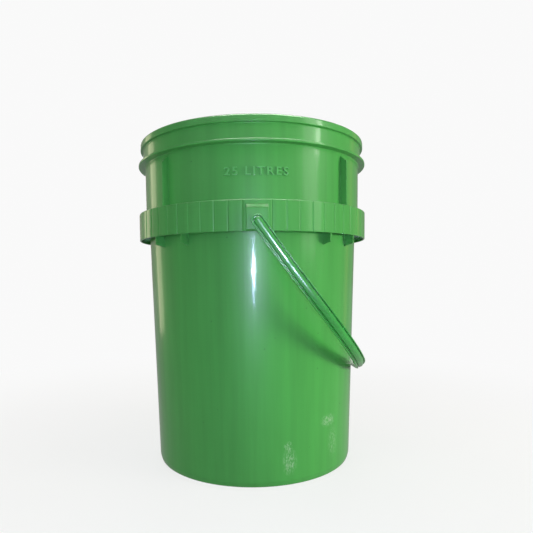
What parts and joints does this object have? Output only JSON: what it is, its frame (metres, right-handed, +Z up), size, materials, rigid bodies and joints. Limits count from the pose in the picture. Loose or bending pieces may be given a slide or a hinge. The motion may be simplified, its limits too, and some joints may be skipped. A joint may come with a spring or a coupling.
{
  "type": "fermenting bucket",
  "caption": "Tapered green plastic fermenting bucket with a snap-lid rim, a stacking flange, a webbed stiffening band and a swinging moulded bail handle.",
  "frame": {"origin": "centre of the foot ring, on the surface the bucket stands on", "axes": "+Z up through the mouth; -Y is the front pivot, +Y the back pivot; the bail hangs over +X at rest"},
  "size_m": [0.314, 0.33, 0.4237],
  "materials": {
    "shell_plastic": "gloss moulded polypropylene",
    "bail_plastic": "gloss moulded polypropylene"
  },
  "bodies": {
    "bucket": {"bucket_shell": "shell_plastic"},
    "bail": {"bail_handle": "bail_plastic"}
  },
  "joints": [
    {"name": "bail_swing", "type": "hinge", "parent": "bucket", "child": "bail", "pos_m": [0, 0, 0.304], "axis": [0, -1, 0], "range_deg": [0, 284]}
  ]
}
